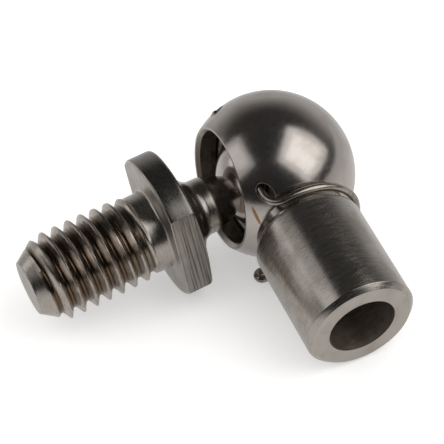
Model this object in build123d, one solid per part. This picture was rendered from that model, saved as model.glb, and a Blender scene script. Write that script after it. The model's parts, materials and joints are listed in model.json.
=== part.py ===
from build123d import *
import os
from math import asin, atan2, cos, degrees, hypot, radians, sin, sqrt, tan

# Angle ball joint with a safety clip, lying on a table as it comes to rest.
# A socket with a spherical head and a tapped shank holds the ball of a threaded stud.
# A snap ring inside the mouth keeps the ball in, and a wire clip locks it there.
# All lengths are millimetres and all angles are degrees.
# Origin: bottom centre of the whole joint's box. +Z is up from the table.
# The shank runs out along +X and the stud along -Y.
#
# Socket axes, before it is laid down: +X runs out along the shank, the mouth opens
# along -Y, and +Z is the side that the clip's straight leg passes on.
# Stud axes: +X runs from the ball to the threaded tip.

# --- Ball and socket head ---
ball_diameter = 10.0
ball_clearance = 0.05  # radial gap between the ball and its spherical seat
head_wall = 2.5  # from the ball's surface to the outside of the head
mouth_clearance = 0.15  # radial gap between the ball and the bore it enters by
mouth_lip = 1.9  # from the ring groove's outer side to the mouth's flat face
mouth_chamfer_width = 0.25
mouth_chamfer_depth = 0.35

# --- Snap ring and its groove ---
ring_wire = 0.9
ring_height = 2.6  # from the ball's centre towards the mouth
ring_ball_gap = 0.05  # gap between the ring's wire and the ball
ring_side_gap = 0.05  # gap on each side of the wire in the groove
ring_open_gap = 0.05  # room left behind the wire when the ball springs it open
ring_split = 40.0  # angle between the ring's two ends
ring_turn = 120.0  # where the split lies, about the mouth's axis

# --- Shank ---
shank_diameter = 10.0
shank_reach = 18.5  # from the ball's centre to the end face
end_chamfer = 0.45
neck_depth = 0.8  # how far the clip's groove lies below the shank
neck_width = 0.65  # flat bottom of the clip's groove, from the head to the shoulder

# --- Tapped bore, M6 ---
tap_drill = 5.0
bore_floor = 1.15  # metal left between the drill's point and the ball's seat
drill_point = 118.0
bore_mouth_diameter = 6.1  # plain length that leads a rod into the thread
bore_mouth_depth = 4.6
lead_angle = 90.0  # cone from the plain length down to the thread

# --- Safety clip ---
clip_wire = 0.7
clip_bend_radius = 1.4  # where the leg turns into the wrap
clip_neck_gap = 0.53  # the wrap stands clear of the neck and is held by the leg
clip_settle_room = 0.3  # the leg passes at least this far outside the wrap
clip_ball_gap = 0.11
clip_ring_gap = 0.15
clip_settle_angle = 35.0  # turn about the neck in which the wire settles onto it
settle_steps = 40  # repeats needed for the wire to run on without a kink
clip_leg_inset = 0.1  # how far the leg's end lies inside the head's surface
clip_release_angle = 264.0  # where the wire leaves the neck, from the mouth's side
clip_tail = 3.85  # straight run from the neck to the finger hold
clip_hold_radius = 0.55  # tight fold of the finger hold
clip_hold_return = 1.0
leg_hole_room = 0.33  # radial room round the leg in its hole
hole_shift_back = 0.25  # the leg lies against the mouth's side of its hole

# --- Ball stud ---
stud_neck_diameter = 4.1  # where the neck meets the ball
stud_root_diameter = 5.8  # wide end of the neck's cone
stud_root_length = 1.3  # plain root between the cone and the collar
stud_root_step = 0.15
collar_face = 11.5  # from the ball's centre to the mounting face
collar_thickness = 2.6
collar_diameter = 13.0
across_flats = 10.0
collar_round_front = 0.3  # edge round on the thread's side
collar_round_back = 0.2
undercut_diameter = 6.7
undercut_width = 1.9
undercut_fillet = 0.15  # between the undercut and the mounting face
stud_thread_diameter = 8.0  # M8, drawn at its crests
stud_length = 12.5  # from the mounting face to the tip
tip_diameter = 4.9
tip_chamfer_length = 2.2

# --- How the joint lies ---
mouth_roll = 5.5  # the mouth looks this far above the table
stud_yaw = 3.0  # the stud leans this far towards the shank
flats_spin = 4.5  # the flats face this far above the shank's side

overcut = 1.0  # how far a cutting tool runs on past the surface it leaves by

# --- Worked out ---
ball_radius = ball_diameter / 2
head_radius = ball_radius + head_wall
seat_radius = ball_radius + ball_clearance
mouth_radius = ball_radius + mouth_clearance
groove_half = ring_wire / 2 + ring_side_gap
groove_radius = ball_radius + ring_wire + ring_open_gap
mouth_face = ring_height + groove_half + mouth_lip
mouth_edge_radius = sqrt(head_radius**2 - mouth_face**2)
ring_reach = ball_radius + ring_wire / 2 + ring_ball_gap
ring_radius = sqrt(ring_reach**2 - ring_height**2)

shank_radius = shank_diameter / 2
neck_radius = shank_radius - neck_depth
neck_start = sqrt(head_radius**2 - neck_radius**2)
neck_end = neck_start + neck_width

clip_radius = clip_wire / 2
clip_plane = neck_end
wrap_radius = neck_radius + clip_radius + clip_neck_gap
leg_height = ring_height + ring_wire / 2 + clip_ring_gap + clip_radius
leg_distance = max(ball_radius + clip_radius + clip_ball_gap, wrap_radius + clip_settle_room)
leg_side = sqrt(leg_distance**2 - leg_height**2)
leg_end = sqrt(head_radius**2 - leg_distance**2) - clip_leg_inset

collar_radius = collar_diameter / 2
collar_back = collar_face - collar_thickness
thread_radius = stud_thread_diameter / 2
stud_tip = collar_face + stud_length

# Planes and axes of the socket before it is laid down
SHANK_AXIS = Axis((0, 0, 0), (1, 0, 0))
MOUTH_AXIS = Axis((0, 0, 0), (0, -1, 0))
MOUTH_PLANE = Plane(origin=(0, 0, 0), x_dir=(1, 0, 0), z_dir=(0, 0, -1))


def dip_to_table(reach, radius, rounding=0):
    """Angle below level at which a shaft's edge, rounded or sharp, touches the table."""
    centre_radius = radius - rounding
    lift = asin((head_radius - rounding) / hypot(reach, centre_radius))
    return degrees(lift - atan2(centre_radius, reach))


def turned(points):
    """A solid turned about the shank or stud axis from (distance, radius) points."""
    return revolve(make_face(Polyline(*points, close=True)), SHANK_AXIS)


def mouth_cylinder(radius, start, end):
    """A cylinder about the mouth's axis between two distances from the ball's centre."""
    profile = Polyline((0, start), (radius, start), (radius, end), (0, end), close=True)
    return revolve(MOUTH_PLANE * make_face(profile), MOUTH_AXIS)


# --- Socket: head, neck and shank in one piece ---
def make_socket():
    shoulder = neck_end + neck_depth
    shank = turned(
        [
            (0, 0),
            (0, neck_radius),
            (neck_end, neck_radius),
            (shoulder, shank_radius),
            (shank_reach - end_chamfer, shank_radius),
            (shank_reach, shank_radius - end_chamfer),
            (shank_reach, 0),
        ]
    )
    body = Sphere(head_radius) + shank

    cut_radius = mouth_edge_radius + neck_depth
    body -= mouth_cylinder(cut_radius, mouth_face, head_radius + overcut)
    body -= Sphere(seat_radius)
    body -= mouth_cylinder(mouth_radius, 0, mouth_face + overcut)
    body -= mouth_cylinder(groove_radius, ring_height - groove_half, ring_height + groove_half)
    chamfer_run = overcut * mouth_chamfer_width / mouth_chamfer_depth
    chamfer_profile = Polyline(
        (0, mouth_face - mouth_chamfer_depth),
        (mouth_radius, mouth_face - mouth_chamfer_depth),
        (mouth_radius + mouth_chamfer_width + chamfer_run, mouth_face + overcut),
        (0, mouth_face + overcut),
        close=True,
    )
    body -= revolve(MOUTH_PLANE * make_face(chamfer_profile), MOUTH_AXIS)

    drill_radius = tap_drill / 2
    mouth_bore_radius = bore_mouth_diameter / 2
    plain_end = shank_reach - bore_mouth_depth
    lead_depth = (mouth_bore_radius - drill_radius) / tan(radians(lead_angle / 2))
    point_end = seat_radius + bore_floor
    bore_end = point_end + drill_radius / tan(radians(drill_point / 2))
    body -= turned(
        [
            (point_end, 0),
            (bore_end, drill_radius),
            (plain_end - lead_depth, drill_radius),
            (plain_end, mouth_bore_radius),
            (shank_reach + overcut, mouth_bore_radius),
            (shank_reach + overcut, 0),
        ]
    )

    hole = Cylinder(clip_radius + leg_hole_room, 2 * head_radius, rotation=(0, 90, 0))
    body -= Pos(0, hole_shift_back - leg_height, leg_side) * hole
    return body


# --- Snap ring: a split ring of round wire ---
def make_snap_ring():
    wire = MOUTH_PLANE * (Pos(ring_radius, ring_height) * Circle(ring_wire / 2))
    ring = revolve(wire, MOUTH_AXIS, revolution_arc=360 - ring_split)
    return ring.rotate(MOUTH_AXIS, ring_turn)


# --- Safety clip: leg through the head, wrap round the neck, folded finger hold ---
def on_clip_plane(towards_mouth, sideways):
    return Vector(clip_plane, -towards_mouth, sideways)


def around_neck(angle):
    turn = radians(angle)
    return on_clip_plane(wrap_radius * cos(turn), wrap_radius * sin(turn))


def along_wrap(angle):
    """Direction of the wire where it runs round the neck."""
    turn = radians(angle)
    return Vector(0, sin(turn), cos(turn))


def settle_on_neck(corner):
    """Ends of the arc by which the wire, bent over at the corner, settles onto the neck.

    The arc leaves the bend in the bend's own direction and joins the wrap along the
    wrap's direction, so the direction is found by repeating the arc from its own start.
    """
    axis = on_clip_plane(0, 0)
    direction = along_wrap(degrees(atan2(leg_side, leg_height)))
    for _ in range(settle_steps):
        start = corner + direction * clip_bend_radius
        reach = start - axis
        join_angle = degrees(atan2(reach.Z, -reach.Y)) + clip_settle_angle
        join = around_neck(join_angle)
        outward = (join - axis).normalized()
        gap = (start - join).length
        bow = gap**2 / (2 * (wrap_radius - reach.dot(outward)))
        spoke = join - outward * bow - start
        direction = spoke.cross(Vector(1, 0, 0)).normalized()
        if direction.dot(along_wrap(join_angle)) < 0:
            direction = -direction
    return start, join, join_angle, direction


def make_safety_clip():
    along = Vector(1, 0, 0)
    corner = on_clip_plane(leg_height, leg_side)
    settle_start, join, join_angle, direction = settle_on_neck(corner)
    leg_start = Vector(-leg_end, corner.Y, corner.Z)
    bend_start = corner - along * clip_bend_radius
    leg = Line(leg_start, bend_start)
    bend = TangentArc(bend_start, settle_start, tangent=along)
    settle = TangentArc(settle_start, join, tangent=direction)
    wrap_middle = around_neck((join_angle + clip_release_angle) / 2)
    release = around_neck(clip_release_angle)
    wrap = ThreePointArc(join, wrap_middle, release)
    outward = along_wrap(clip_release_angle)
    fold_start = release + outward * clip_tail
    tail = Line(release, fold_start)
    fold_end = fold_start - along * (2 * clip_hold_radius)
    fold = TangentArc(fold_start, fold_end, tangent=outward)
    back = Line(fold_end, fold_end - outward * clip_hold_return)
    route = Wire([leg, bend, settle, wrap, tail, fold, back])
    section = Plane(origin=leg_start, z_dir=along) * Circle(clip_radius)
    return sweep(section, path=route)


# --- Ball stud: ball, neck, collar and thread in one turned piece ---
def make_ball_stud():
    neck_at_ball = stud_neck_diameter / 2
    ball_end = sqrt(ball_radius**2 - neck_at_ball**2)
    cone_end = collar_back - stud_root_length
    cone_radius = stud_root_diameter / 2
    undercut_radius = undercut_diameter / 2
    undercut_end = collar_face + undercut_width
    back_face = (collar_back, collar_radius - collar_round_back)
    back_rim = (collar_back + collar_round_back, collar_radius)
    front_rim = (collar_face - collar_round_front, collar_radius)
    front_face = (collar_face, collar_radius - collar_round_front)
    fillet_face = (collar_face, undercut_radius + undercut_fillet)
    fillet_shaft = (collar_face + undercut_fillet, undercut_radius)
    behind = Polyline(
        (0, 0),
        (ball_end, neck_at_ball),
        (cone_end, cone_radius),
        (cone_end, cone_radius + stud_root_step),
        (collar_back, cone_radius + stud_root_step),
        back_face,
    )
    back_round = TangentArc(back_face, back_rim, tangent=(0, 1))
    rim = Line(back_rim, front_rim)
    front_round = TangentArc(front_rim, front_face, tangent=(1, 0))
    face = Line(front_face, fillet_face)
    fillet = TangentArc(fillet_face, fillet_shaft, tangent=(0, -1))
    ahead = Polyline(
        fillet_shaft,
        (undercut_end, undercut_radius),
        (undercut_end + thread_radius - undercut_radius, thread_radius),
        (stud_tip - tip_chamfer_length, thread_radius),
        (stud_tip, tip_diameter / 2),
        (stud_tip, 0),
        (0, 0),
    )
    outline = Curve() + [behind, back_round, rim, front_round, face, fillet, ahead]
    profile = make_face(outline)
    stud = revolve(profile, SHANK_AXIS)
    stud += Sphere(ball_radius)

    flat_cut = Box(
        collar_thickness,
        collar_radius,
        collar_diameter,
        align=(Align.MIN, Align.MIN, Align.CENTER),
    )
    for turn in (0, 180):
        stud -= Rot(X=turn) * Pos(collar_back, across_flats / 2, 0) * flat_cut
    return stud


# --- Laying the joint on the table ---
shank_dip = dip_to_table(shank_reach - end_chamfer, shank_radius)
stud_dip = min(
    dip_to_table(collar_face - collar_round_front, collar_radius, collar_round_front),
    dip_to_table(stud_tip - tip_chamfer_length, thread_radius),
)
socket_pose = Rot(Y=shank_dip) * Rot(X=-mouth_roll)
stud_pose = Rot(Z=stud_yaw - 90) * Rot(Y=stud_dip) * Rot(X=flats_spin)

pieces = {
    "ball_socket": socket_pose * make_socket(),
    "snap_ring": socket_pose * make_snap_ring(),
    "safety_clip": socket_pose * make_safety_clip(),
    "ball_stud": stud_pose * make_ball_stud(),
}
whole = Compound(children=[piece.solid() for piece in pieces.values()])
box = whole.bounding_box()
ball_centre = Vector(-box.center().X, -box.center().Y, head_radius)

os.makedirs("parts", exist_ok=True)
for name, piece in pieces.items():
    export_step(Pos(*ball_centre) * piece.solid(), f"parts/{name}.step")

mouth_direction = (socket_pose * Pos(0, -1, 0)).position
shank_direction = (socket_pose * Pos(1, 0, 0)).position
side_direction = (socket_pose * Pos(0, 0, 1)).position
stud_direction = (stud_pose * Pos(1, 0, 0)).position
flat_direction = (stud_pose * Pos(0, 1, 0)).position
print("ball centre", tuple(ball_centre))
print("mouth, shank and side directions", mouth_direction, shank_direction, side_direction)
print("stud and flat directions", stud_direction, flat_direction)
print("tilt at rest", mouth_direction.get_angle(stud_direction))
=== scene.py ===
"""Angle ball joint with a safety clip: its threads, its steel finishes and a plain studio.

Each sub-assembly is turned, threaded or bent in its own axes in millimetres, then laid where
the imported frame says. X is always the axis that the piece was turned or drilled about.
"""

import json
import logging
import math
from collections.abc import Callable, Iterable, Iterator, Sequence
from dataclasses import dataclass
from enum import Enum, IntEnum

import bmesh
import bpy
from mathutils import Euler, Matrix, Vector


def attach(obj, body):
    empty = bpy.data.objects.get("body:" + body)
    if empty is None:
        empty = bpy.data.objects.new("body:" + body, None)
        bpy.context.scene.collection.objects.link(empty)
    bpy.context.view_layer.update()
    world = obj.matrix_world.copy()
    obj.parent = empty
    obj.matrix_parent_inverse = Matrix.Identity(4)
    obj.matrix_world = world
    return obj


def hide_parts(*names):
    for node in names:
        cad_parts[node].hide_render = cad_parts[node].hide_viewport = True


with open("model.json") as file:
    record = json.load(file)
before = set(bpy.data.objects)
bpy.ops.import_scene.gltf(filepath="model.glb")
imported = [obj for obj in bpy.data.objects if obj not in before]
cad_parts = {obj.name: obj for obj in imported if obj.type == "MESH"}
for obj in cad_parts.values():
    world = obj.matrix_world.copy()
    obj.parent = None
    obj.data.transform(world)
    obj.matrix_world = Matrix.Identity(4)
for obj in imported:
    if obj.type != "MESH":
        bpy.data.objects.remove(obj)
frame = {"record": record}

MM = 0.001  # metres in a millimetre
X_AXIS = Vector((1, 0, 0))
WELD = 0.002  # mm, points nearer than this are one
SHARP_ANGLE = 32.0  # degrees, edges sharper than this stay crisp
SQUARE_ON = 0.9  # a face whose normal reaches this along an axis is square to it

log = logging.getLogger("angle_ball_joint")

Shell = bmesh.types.BMesh
Edges = list[bmesh.types.BMEdge]
Points = list[bmesh.types.BMVert]
Tree = bpy.types.NodeTree
Socket = bpy.types.NodeSocket
Station = tuple[float, float]  # distance along the axis and radius, mm


# --- Where things are ---
def record_item(group: Sequence[dict], name: str) -> dict:
    """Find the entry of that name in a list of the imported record."""
    return next(item for item in group if item["name"] == name)


def axes(x_axis: Vector, y_hint: Vector, origin: Vector) -> Matrix:
    """Make the matrix from a piece's own axes in millimetres to the part's frame in metres.

    Args:
        x_axis: Direction of the piece's X in the part's frame.
        y_hint: Direction that its Y is nearest to.
        origin: Where its origin lies, in metres.

    Returns:
        A 4x4 matrix that also turns millimetres into metres.
    """
    along = x_axis.normalized()
    up = along.cross(y_hint).normalized()
    side = up.cross(along)
    turn = Matrix((along, side, up)).transposed().to_4x4()
    return Matrix.Translation(origin) @ turn @ Matrix.Scale(MM, 4)


MOUNTS = frame["record"]["mounts"]
JOINTS = frame["record"]["behaviour"]["joints"]
BALL_CENTRE = Vector(record_item(JOINTS, "ring_turn")["pos_m"])
MOUTH = Vector(record_item(JOINTS, "ring_turn")["axis"])
SHANK = Vector(record_item(MOUNTS, "shank_thread")["axis"])
STUD = Vector(record_item(MOUNTS, "stud_thread")["axis"])
FLAT = Vector(record_item(MOUNTS, "spanner_flat_near")["axis"])

SOCKET_AXES = axes(SHANK, -MOUTH, BALL_CENTRE)  # X out along the shank, the mouth towards -Y
MOUTH_AXES = axes(MOUTH, SHANK, BALL_CENTRE)  # X out of the mouth, Y along the shank
STUD_AXES = axes(STUD, FLAT, BALL_CENTRE)  # X from the ball to the tip, Y out of a flat


# --- Outlines ---
def arc(centre: Station, radius: float, start: float, end: float, steps: int) -> list[Station]:
    """List the points of an arc in an outline.

    Args:
        centre: Its centre, as distance along the axis and radius.
        radius: Its radius.
        start: Angle of its first point in degrees, 0 along the axis and 90 outwards.
        end: Angle of its last point.
        steps: How many chords it has.

    Returns:
        The points from start to end, both among them.
    """
    points = []
    for step in range(steps + 1):
        angle = math.radians(start + (end - start) * step / steps)
        points.append((centre[0] + radius * math.cos(angle), centre[1] + radius * math.sin(angle)))
    return points


def broken_edge(corner: Station, before: Station, after: Station, size: float) -> list[Station]:
    """Round a corner of an outline, as tumbling does to a real edge.

    Args:
        corner: The sharp corner.
        before: The outline's point before it.
        after: The outline's point after it.
        size: How far back along each side the round starts.

    Returns:
        Four points that replace the corner.
    """
    middle = Vector(corner)
    first = middle + (Vector(before) - middle).normalized() * size
    last = middle + (Vector(after) - middle).normalized() * size
    points = []
    for share in (0, 1 / 3, 2 / 3, 1):
        near = first.lerp(middle, share)
        points.append(tuple(near.lerp(middle.lerp(last, share), share)))
    return points


def soften(outline: Sequence[Station], size: float) -> list[Station]:
    """Round every corner inside an outline by the same size.

    Args:
        outline: Its points.
        size: How far back from each corner the round starts.

    Returns:
        The outline's new points.
    """
    points = [outline[0]]
    for before, corner, after in zip(outline, outline[1:], outline[2:]):
        points += broken_edge(corner, before, after, size)
    return points + [outline[-1]]


# --- Turning ---
def spin_outline(mesh: Shell, outline: Sequence[Station], segments: int) -> None:
    """Turn a closed solid about X from an outline that starts and ends on the axis.

    Args:
        mesh: An empty mesh.
        outline: The outline's points.
        segments: How many chords one turn has.
    """
    points = [mesh.verts.new((x, radius, 0)) for x, radius in outline]
    edges = [mesh.edges.new(pair) for pair in zip(points, points[1:])]
    bmesh.ops.spin(
        mesh,
        geom=points + edges,
        cent=(0, 0, 0),
        axis=X_AXIS,
        angle=2 * math.pi,
        steps=segments,
        use_merge=True,
    )
    finish_shell(mesh)


def finish_shell(mesh: Shell) -> None:
    """Weld a shell's seams and poles and turn its faces outwards."""
    bmesh.ops.remove_doubles(mesh, verts=mesh.verts, dist=WELD)
    bmesh.ops.recalc_face_normals(mesh, faces=mesh.faces)


def new_edges(made: Iterable[object]) -> Edges:
    """Pick the open edges from what an operator made."""
    return [item for item in made if isinstance(item, bmesh.types.BMEdge) and item.is_boundary]


def extrude(mesh: Shell, rim: Edges) -> tuple[Points, Edges]:
    """Extrude an open rim where it lies, and give its new points and edges."""
    made = bmesh.ops.extrude_edge_only(mesh, edges=rim)["geom"]
    return [item for item in made if isinstance(item, bmesh.types.BMVert)], new_edges(made)


def open_edges(mesh: Shell) -> Edges:
    """List the edges that have a face on one side only."""
    return [edge for edge in mesh.edges if edge.is_boundary]


def off_axis(place: Vector) -> float:
    """Give a place's distance from X."""
    return math.hypot(place.y, place.z)


def face_middles(mesh: Shell) -> Iterator[tuple[bmesh.types.BMFace, Vector, float]]:
    """Go through the faces of a mesh.

    Args:
        mesh: The mesh, in the piece's own axes.

    Returns:
        Each face with its middle and how far that is from X.
    """
    for face in mesh.faces:
        middle = face.calc_center_median()
        yield face, middle, off_axis(middle)


def carry_on(mesh: Shell, rim: Edges, stations: Iterable[Station]) -> Edges:
    """Carry a turned surface on from its open rim through more stations.

    Args:
        mesh: The mesh being turned about X.
        rim: The edges of its open rim.
        stations: The distances and radii that follow.

    Returns:
        The edges of the new open rim.
    """
    for x, radius in stations:
        points, rim = extrude(mesh, rim)
        for point in points:
            outward = Vector((0, point.co.y, point.co.z)).normalized()
            point.co = X_AXIS * x + outward * radius
    return rim


def close_on_axis(mesh: Shell, rim: Edges, x: float) -> None:
    """Close an open rim with a fan to a point on the axis."""
    bmesh.ops.pointmerge(mesh, verts=extrude(mesh, rim)[0], merge_co=X_AXIS * x)


def rim_at(mesh: Shell, x: float) -> Edges:
    """Find the open rim that lies at one distance along the axis.

    Args:
        mesh: The mesh.
        x: The distance.

    Returns:
        The rim's edges.
    """
    return [
        edge for edge in open_edges(mesh) if all(abs(point.co.x - x) < WELD for point in edge.verts)
    ]


@dataclass(frozen=True)
class Thread:
    """A metric thread's form, in millimetres.

    Attributes:
        pitch: Distance from crest to crest.
        crest: Radius of the crests.
        root: Radius at the bottom of the valleys.
        crest_share: Crest's flat, as a share of the pitch.
        root_share: Valley's round bottom, as a share of the pitch.
        phase: How far the crests stand back along the axis, as a share of the pitch.
    """

    pitch: float
    crest: float
    root: float
    crest_share: float = 1 / 8
    root_share: float = 1 / 5
    phase: float = 0.0

    def form(self) -> list[Station]:
        """List one pitch of the thread's outline, from crest to crest.

        Returns:
            Its points, as distance along the axis and radius.
        """
        deep = self.root - self.crest
        crest_half = self.crest_share / 2
        valley = 0.5 - self.root_share / 2
        half = [
            (0, 0),
            (crest_half * 0.7, 0.005),
            (crest_half * 1.4, 0.06),
            ((crest_half * 1.4 + valley) / 2, 0.5),
            (valley, 0.92),
            (valley + self.root_share / 5, 0.985),
            (0.5, 1.0),
        ]
        whole = half + [(1 - share, depth) for share, depth in reversed(half[:-1])]
        return [(share * self.pitch, self.crest + depth * deep) for share, depth in whole]

    def cut(
        self,
        mesh: Shell,
        start: float,
        end: float,
        limit: Callable[[float, float], float],
        segments: int,
    ) -> tuple[Edges, Edges]:
        """Wind the thread round X and trim it square at both ends.

        Args:
            mesh: An empty mesh.
            start: Where it starts along the axis.
            end: Where it ends.
            limit: Gives the radius that the turned blank or drill leaves, from the distance
                along the axis and the thread's own radius.
            segments: How many chords one turn has.

        Returns:
            The open rims at its start and its end.
        """
        turns = math.ceil((end - start) / self.pitch) + 2
        first = start - (1.5 + self.phase) * self.pitch
        points = [mesh.verts.new((first + x, radius, 0)) for x, radius in self.form()]
        edges = [mesh.edges.new(pair) for pair in zip(points, points[1:])]
        bmesh.ops.spin(
            mesh,
            geom=points + edges,
            cent=(0, 0, 0),
            axis=X_AXIS,
            dvec=X_AXIS * self.pitch / segments,
            angle=2 * math.pi * turns,
            steps=segments * turns,
        )
        bmesh.ops.remove_doubles(mesh, verts=mesh.verts, dist=WELD)
        for point in mesh.verts:
            radius = off_axis(point.co)
            share = limit(point.co.x, radius) / radius
            point.co.y *= share
            point.co.z *= share
        for x, normal in ((start, -X_AXIS), (end, X_AXIS)):
            everything = mesh.verts[:] + mesh.edges[:] + mesh.faces[:]
            bmesh.ops.bisect_plane(
                mesh,
                geom=everything,
                dist=WELD / 4,
                plane_co=X_AXIS * x,
                plane_no=normal,
                clear_outer=True,
            )
        return rim_at(mesh, start), rim_at(mesh, end)


def between(value: float, low: Station, high: Station) -> float:
    """Follow a straight slope from one (x, radius) to another, level beyond both."""
    share = (value - low[0]) / (high[0] - low[0])
    return low[1] + (high[1] - low[1]) * min(max(share, 0), 1)


# --- Materials ---
def linear(code: str) -> tuple[float, float, float, float]:
    """Turn an sRGB hex colour into the linear colour that a shader wants.

    Args:
        code: The colour, as # and six digits.

    Returns:
        Red, green, blue and an opaque alpha.
    """
    parts = [int(code[place : place + 2], 16) / 255 for place in (1, 3, 5)]
    levels = [part / 12.92 if part <= 0.04045 else ((part + 0.055) / 1.055) ** 2.4 for part in parts]
    return (*levels, 1.0)


def add_node(
    tree: Tree, kind: str, inputs: dict | None = None, **settings: object
) -> bpy.types.Node:
    """Add a node with its settings, its values and its links.

    Args:
        tree: The node tree that it joins.
        kind: The node's type.
        inputs: A value for each named or numbered input, or the output that feeds it.
        settings: The node's own options.

    Returns:
        The new node.
    """
    node = tree.nodes.new(kind)
    for name, value in settings.items():
        setattr(node, name, value)
    for name, value in (inputs or {}).items():
        if isinstance(value, Socket):
            tree.links.new(value, node.inputs[name])
        else:
            node.inputs[name].default_value = value
    return node


def fresh_tree(owner: bpy.types.Material | bpy.types.World) -> Tree:
    """Empty the node tree of a material or a world.

    Args:
        owner: The material or the world.

    Returns:
        Its empty node tree.
    """
    owner.use_nodes = True
    owner.node_tree.nodes.clear()
    return owner.node_tree


class Marks(Enum):
    """How a surface was made, which sets the way its marks run."""

    TUMBLED = "fine marks in every direction"
    TURNED = "fine rings round the axis"
    FACED = "rings on a flat end"
    MILLED = "straight marks across the axis"


@dataclass(frozen=True)
class Stain:
    """A dried run of oil on the metal.

    Attributes:
        middle: Its middle, in the piece's axes.
        direction: The way it runs.
        size: Half its length and half its width, mm.
        colour: Its colour, as sRGB hex.
        share: How much of it shows.
    """

    middle: tuple[float, float, float]
    direction: tuple[float, float, float]
    size: tuple[float, float]
    colour: str
    share: float

    def cover(self, tree: Tree, local: Socket) -> Socket:
        """Give how much of the stain shows at a place.

        Args:
            tree: The material's node tree.
            local: The place, in the piece's axes and in millimetres.

        Returns:
            From 0 clear of it to its share in its middle.
        """
        away = add_node(
            tree, "ShaderNodeVectorMath", {0: local, 1: self.middle}, operation="SUBTRACT"
        ).outputs[0]
        along = add_node(
            tree, "ShaderNodeVectorMath", {0: away, 1: self.direction}, operation="DOT_PRODUCT"
        ).outputs["Value"]
        beside = add_node(
            tree, "ShaderNodeVectorMath", {0: away, 1: self.direction}, operation="CROSS_PRODUCT"
        ).outputs[0]
        across = add_node(tree, "ShaderNodeVectorMath", {0: beside}, operation="LENGTH").outputs["Value"]
        shares = []
        for value, half in zip((along, across), self.size):
            scaled = add_node(tree, "ShaderNodeMath", {0: value, 1: half}, operation="DIVIDE").outputs[0]
            shares.append(
                add_node(tree, "ShaderNodeMath", {0: scaled, 1: 2.0}, operation="POWER").outputs[0]
            )
        reach = add_node(tree, "ShaderNodeMath", {0: shares[0], 1: shares[1]}, operation="ADD").outputs[0]
        return add_node(
            tree,
            "ShaderNodeMapRange",
            {"Value": reach, "From Min": 1.3, "From Max": 0.4, "To Max": self.share},
            interpolation_type="SMOOTHSTEP",
        ).outputs[0]


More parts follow.
